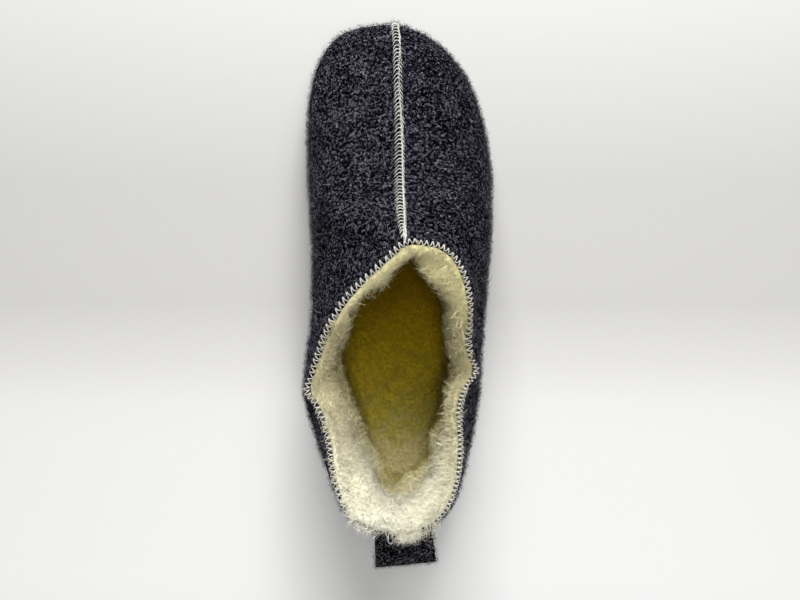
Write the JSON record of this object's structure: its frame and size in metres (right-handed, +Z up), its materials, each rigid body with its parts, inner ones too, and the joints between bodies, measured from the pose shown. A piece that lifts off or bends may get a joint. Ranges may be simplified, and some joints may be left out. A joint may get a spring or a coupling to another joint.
{
  "type": "slipper boot",
  "caption": "Ankle-high felt slipper boot for the right foot, with a raised overlocked centre seam, deep wool lining, notched collar, heel pull loop and thin rubber sole.",
  "frame": {"origin": "middle of the shoe's box, on the floor", "axes": "+Y from heel to toe, +X towards the little toe side of this right shoe, +Z up"},
  "size_m": [0.1038, 0.2982, 0.113],
  "materials": {
    "felt": "charcoal melange wool felt, matt and fuzzy",
    "wool_pile": "cream wool pile, matt",
    "sole_rubber": "matt black, fine moulded tread"
  },
  "bodies": {
    "root": {"upper": "felt", "lining": "wool_pile", "insole": "wool_pile", "outsole": "sole_rubber", "pull_loop": "felt"}
  },
  "joints": []
}
